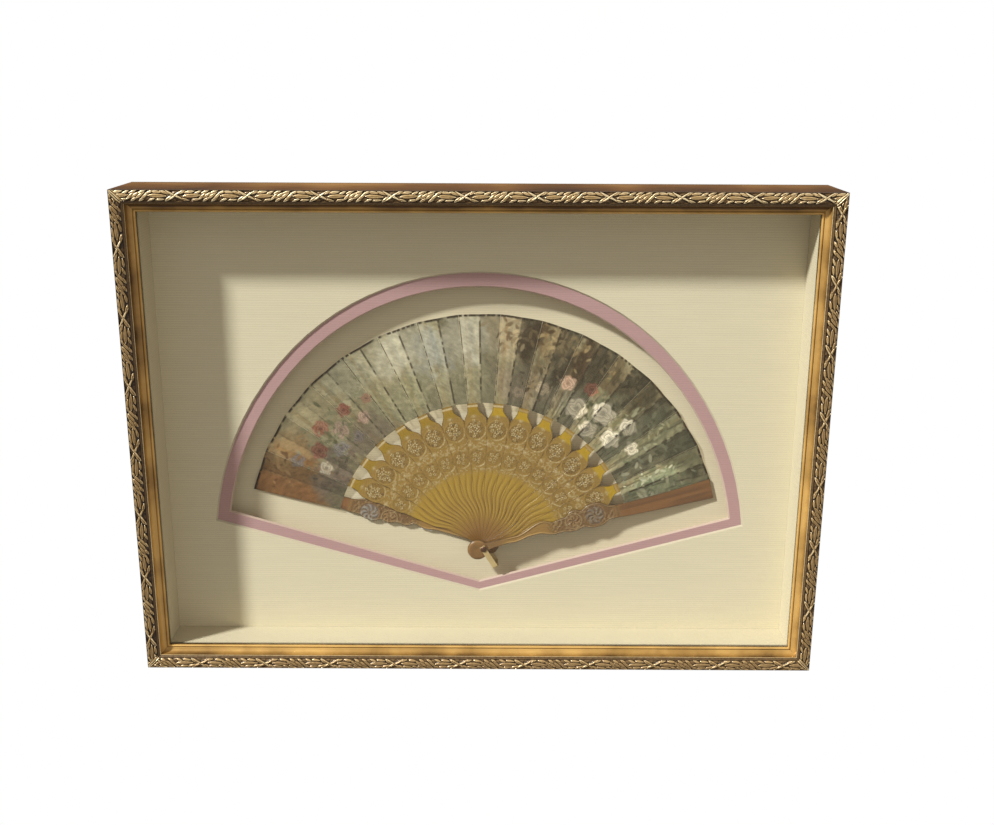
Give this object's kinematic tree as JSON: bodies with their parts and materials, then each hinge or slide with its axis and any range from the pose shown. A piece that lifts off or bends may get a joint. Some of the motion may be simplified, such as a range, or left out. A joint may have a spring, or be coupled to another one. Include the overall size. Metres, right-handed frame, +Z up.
{
  "type": "framed folding fan",
  "caption": "Pleated folding fan spread open in a deep gilt shadow box, behind glass and an arched double mat, with hanging rings on the back.",
  "frame": {"origin": "middle of the bottom edge, halfway between the front of the moulding and the rearmost hardware", "axes": "+X to the viewer's right along the frame's width, +Y from the glass towards the wall, +Z up"},
  "size_m": [0.686, 0.0842, 0.49],
  "materials": {
    "gilt_moulding": "antique gold leaf, satin",
    "glass": "clear, polished",
    "cream_board": "laid paper, matt",
    "rose_board": "laid paper, matt",
    "foam_board": "foam-cored board, matt",
    "kraft_paper": "kraft paper, matt",
    "brown_horn": "polished brown horn with gilt relief",
    "amber_horn": "polished amber horn with gilt relief",
    "painted_leaf": "painted, matt",
    "rivet_metal": "aged, satin",
    "pale_horn": "pale horn, satin",
    "adhesive_pad": "foam tape, matt",
    "steel": "zinc plated",
    "bumper_rubber": "clear, soft"
  },
  "bodies": {
    "case": {"frame_rail_bottom": "gilt_moulding", "frame_rail_left": "gilt_moulding", "frame_rail_top": "gilt_moulding", "frame_rail_right": "gilt_moulding", "glass": "glass", "liner_top": "cream_board", "liner_bottom": "cream_board", "liner_left": "cream_board", "liner_right": "cream_board", "top_mat": "cream_board", "under_mat": "rose_board", "mat_spacer": "foam_board", "mounting_board": "cream_board", "backing_board": "foam_board", "dust_cover": "kraft_paper", "rear_guard": "brown_horn", "leaf_pleat_01": "painted_leaf", "rivet": "rivet_metal", "guard_pad_inner": "adhesive_pad", "guard_pad_outer": "adhesive_pad", "hanger_strap_left": "steel", "hanger_strap_right": "steel", "bumper_left": "bumper_rubber", "bumper_right": "bumper_rubber"},
    "stick_01": {"stick_01": "amber_horn", "leaf_pleat_02": "painted_leaf"},
    "stick_02": {"stick_02": "amber_horn", "leaf_pleat_03": "painted_leaf"},
    "stick_03": {"stick_03": "amber_horn", "leaf_pleat_04": "painted_leaf"},
    "stick_04": {"stick_04": "amber_horn", "leaf_pleat_05": "painted_leaf"},
    "stick_05": {"stick_05": "amber_horn", "leaf_pleat_06": "painted_leaf"},
    "stick_06": {"stick_06": "amber_horn", "leaf_pleat_07": "painted_leaf"},
    "stick_07": {"stick_07": "amber_horn", "leaf_pleat_08": "painted_leaf"},
    "stick_08": {"stick_08": "amber_horn", "leaf_pleat_09": "painted_leaf"},
    "stick_09": {"stick_09": "amber_horn", "leaf_pleat_10": "painted_leaf"},
    "stick_10": {"stick_10": "amber_horn", "leaf_pleat_11": "painted_leaf"},
    "stick_11": {"stick_11": "amber_horn", "leaf_pleat_12": "painted_leaf"},
    "stick_12": {"stick_12": "amber_horn", "leaf_pleat_13": "painted_leaf"},
    "stick_13": {"stick_13": "amber_horn", "leaf_pleat_14": "painted_leaf"},
    "stick_14": {"stick_14": "amber_horn", "leaf_pleat_15": "painted_leaf"},
    "front_guard": {"front_guard": "brown_horn"},
    "bail": {"bail": "pale_horn"},
    "ring_left": {"hanger_ring_left": "steel"},
    "ring_right": {"hanger_ring_right": "steel"}
  },
  "joints": [
    {"name": "fold_01", "type": "hinge", "parent": "case", "child": "stick_01", "pos_m": [0.004, 0.02535, 0.1137], "axis": [0.0272, -0.9996, 0], "range_deg": [0, 9.93], "deforming": ["leaf_pleat_01"]},
    {"name": "fold_02", "type": "hinge", "parent": "stick_01", "child": "stick_02", "pos_m": [0.004, 0.02535, 0.1137], "axis": [0.0272, -0.9996, 0], "range_deg": [0, 9.93], "deforming": ["leaf_pleat_02"]},
    {"name": "fold_03", "type": "hinge", "parent": "stick_02", "child": "stick_03", "pos_m": [0.004, 0.02535, 0.1137], "axis": [0.0272, -0.9996, 0], "range_deg": [0, 9.93], "deforming": ["leaf_pleat_03"]},
    {"name": "fold_04", "type": "hinge", "parent": "stick_03", "child": "stick_04", "pos_m": [0.004, 0.02535, 0.1137], "axis": [0.0272, -0.9996, 0], "range_deg": [0, 9.93], "deforming": ["leaf_pleat_04"]},
    {"name": "fold_05", "type": "hinge", "parent": "stick_04", "child": "stick_05", "pos_m": [0.004, 0.02535, 0.1137], "axis": [0.0272, -0.9996, 0], "range_deg": [0, 9.93], "deforming": ["leaf_pleat_05"]},
    {"name": "fold_06", "type": "hinge", "parent": "stick_05", "child": "stick_06", "pos_m": [0.004, 0.02535, 0.1137], "axis": [0.0272, -0.9996, 0], "range_deg": [0, 9.93], "deforming": ["leaf_pleat_06"]},
    {"name": "fold_07", "type": "hinge", "parent": "stick_06", "child": "stick_07", "pos_m": [0.004, 0.02535, 0.1137], "axis": [0.0272, -0.9996, 0], "range_deg": [0, 9.93], "deforming": ["leaf_pleat_07"]},
    {"name": "fold_08", "type": "hinge", "parent": "stick_07", "child": "stick_08", "pos_m": [0.004, 0.02535, 0.1137], "axis": [0.0272, -0.9996, 0], "range_deg": [0, 9.93], "deforming": ["leaf_pleat_08"]},
    {"name": "fold_09", "type": "hinge", "parent": "stick_08", "child": "stick_09", "pos_m": [0.004, 0.02535, 0.1137], "axis": [0.0272, -0.9996, 0], "range_deg": [0, 9.93], "deforming": ["leaf_pleat_09"]},
    {"name": "fold_10", "type": "hinge", "parent": "stick_09", "child": "stick_10", "pos_m": [0.004, 0.02535, 0.1137], "axis": [0.0272, -0.9996, 0], "range_deg": [0, 9.93], "deforming": ["leaf_pleat_10"]},
    {"name": "fold_11", "type": "hinge", "parent": "stick_10", "child": "stick_11", "pos_m": [0.004, 0.02535, 0.1137], "axis": [0.0272, -0.9996, 0], "range_deg": [0, 9.93], "deforming": ["leaf_pleat_11"]},
    {"name": "fold_12", "type": "hinge", "parent": "stick_11", "child": "stick_12", "pos_m": [0.004, 0.02535, 0.1137], "axis": [0.0272, -0.9996, 0], "range_deg": [0, 9.93], "deforming": ["leaf_pleat_12"]},
    {"name": "fold_13", "type": "hinge", "parent": "stick_12", "child": "stick_13", "pos_m": [0.004, 0.02535, 0.1137], "axis": [0.0272, -0.9996, 0], "range_deg": [0, 9.93], "deforming": ["leaf_pleat_13"]},
    {"name": "fold_14", "type": "hinge", "parent": "stick_13", "child": "stick_14", "pos_m": [0.004, 0.02535, 0.1137], "axis": [0.0272, -0.9996, 0], "range_deg": [0, 9.93], "deforming": ["leaf_pleat_14"]},
    {"name": "fold_15", "type": "hinge", "parent": "stick_14", "child": "front_guard", "pos_m": [0.004, 0.02535, 0.1137], "axis": [0.0272, -0.9996, 0], "range_deg": [0, 9.93], "deforming": ["leaf_pleat_15"]},
    {"name": "bail_swing", "type": "hinge", "parent": "case", "child": "bail", "pos_m": [0.004, 0.02535, 0.1137], "axis": [0.0272, -0.9996, 0], "range_deg": [-58, 47]},
    {"name": "ring_swing_left", "type": "hinge", "parent": "case", "child": "ring_left", "pos_m": [-0.3351, 0.03935, 0.352], "axis": [1, 0, 0], "range_deg": [0, 180]},
    {"name": "ring_swing_right", "type": "hinge", "parent": "case", "child": "ring_right", "pos_m": [0.3351, 0.03935, 0.352], "axis": [1, 0, 0], "range_deg": [0, 180]}
  ],
  "couplings": [
    {"joint": "fold_02", "follows": "fold_01", "ratio": 1},
    {"joint": "fold_03", "follows": "fold_01", "ratio": 1},
    {"joint": "fold_04", "follows": "fold_01", "ratio": 1},
    {"joint": "fold_05", "follows": "fold_01", "ratio": 1},
    {"joint": "fold_06", "follows": "fold_01", "ratio": 1},
    {"joint": "fold_07", "follows": "fold_01", "ratio": 1},
    {"joint": "fold_08", "follows": "fold_01", "ratio": 1},
    {"joint": "fold_09", "follows": "fold_01", "ratio": 1},
    {"joint": "fold_10", "follows": "fold_01", "ratio": 1},
    {"joint": "fold_11", "follows": "fold_01", "ratio": 1},
    {"joint": "fold_12", "follows": "fold_01", "ratio": 1},
    {"joint": "fold_13", "follows": "fold_01", "ratio": 1},
    {"joint": "fold_14", "follows": "fold_01", "ratio": 1},
    {"joint": "fold_15", "follows": "fold_01", "ratio": 1}
  ]
}
